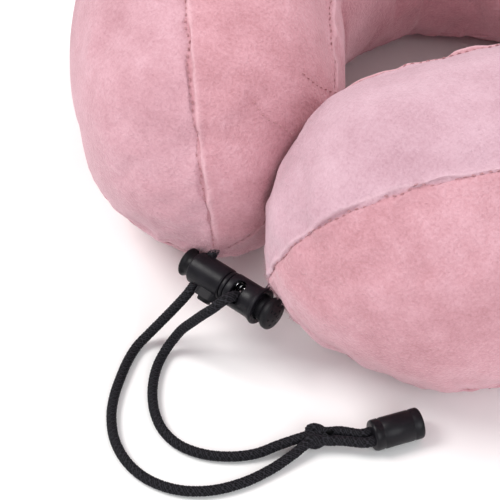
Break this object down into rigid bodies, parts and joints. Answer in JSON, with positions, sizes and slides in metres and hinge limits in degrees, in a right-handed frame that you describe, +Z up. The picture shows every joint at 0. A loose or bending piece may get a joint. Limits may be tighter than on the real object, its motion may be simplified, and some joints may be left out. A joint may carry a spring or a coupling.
{
  "type": "u shaped neck pillow",
  "caption": "Memory foam neck pillow in a zipped velour cover, its curved arms drawn together at the front by a sprung cord lock with braided cords.",
  "frame": {"origin": "on the surface that the pillow lies on, under the middle of the pillow's own box", "axes": "+X to the wearer's side along the pillow's width, +Y towards the closed back, +Z up; the arms meet at the front, -Y"},
  "size_m": [0.2802, 0.3398, 0.1183],
  "materials": {
    "velour": "matte",
    "liner": "matte",
    "foam": "matte",
    "zip_tape": "matte",
    "zip_nylon": "satin",
    "zip_metal": "satin",
    "cord": "matte",
    "lock_plastic": "satin",
    "spring_steel": "polished"
  },
  "bodies": {
    "pillow": {"cover_outer_panel": "velour", "cover_top_panel": "velour", "cover_neck_panel": "velour", "cover_base_panel": "velour", "inner_liner": "liner", "foam_core": "foam", "zip_tape_front": "zip_tape", "zip_tape_back": "zip_tape", "zip_teeth_front": "zip_nylon", "zip_teeth_back": "zip_nylon", "zip_stop_left": "zip_metal", "zip_stop_right": "zip_metal", "cord_left": "cord", "cord_right": "cord", "tail_cord_left": "cord", "tail_cord_right": "cord", "tail_knot": "cord", "anchor_knot_left": "cord", "anchor_knot_right": "cord", "lock_body_left": "lock_plastic", "lock_body_right": "lock_plastic", "coupling_ring": "lock_plastic", "cord_end_barrel": "lock_plastic", "barrel_plug": "lock_plastic", "spring_left": "spring_steel", "spring_right": "spring_steel"},
    "plunger_left": {"plunger_left": "lock_plastic"},
    "plunger_right": {"plunger_right": "lock_plastic"},
    "latch_button": {"latch_button": "lock_plastic"},
    "zip_slider": {"zip_slider": "zip_metal"},
    "zip_pull": {"zip_pull": "zip_metal"}
  },
  "joints": [
    {"name": "plunger_left_press", "type": "slide", "parent": "pillow", "child": "plunger_left", "axis": [1, 0, 0], "range_m": [0, 0.002], "stiffness_N_per_m": 300, "springref_m": -0.004, "deforming": ["spring_left"]},
    {"name": "plunger_right_press", "type": "slide", "parent": "pillow", "child": "plunger_right", "axis": [-1, 0, 0], "range_m": [0, 0.0014], "stiffness_N_per_m": 300, "springref_m": -0.004, "deforming": ["spring_right"]},
    {"name": "latch_press", "type": "slide", "parent": "pillow", "child": "latch_button", "axis": [0, 0.8, 0.6], "range_m": [0, 0.0008], "stiffness_N_per_m": 300, "springref_m": -0.002},
    {"name": "zip_run", "type": "slide", "parent": "pillow", "child": "zip_slider", "axis": [-1, 0, 0], "range_m": [0, 0.0805]},
    {"name": "zip_pull_swing", "type": "hinge", "parent": "zip_slider", "child": "zip_pull", "pos_m": [0.0362, 0.0848, 0.00035], "axis": [0, 1, 0], "range_deg": [-90, 0]}
  ]
}
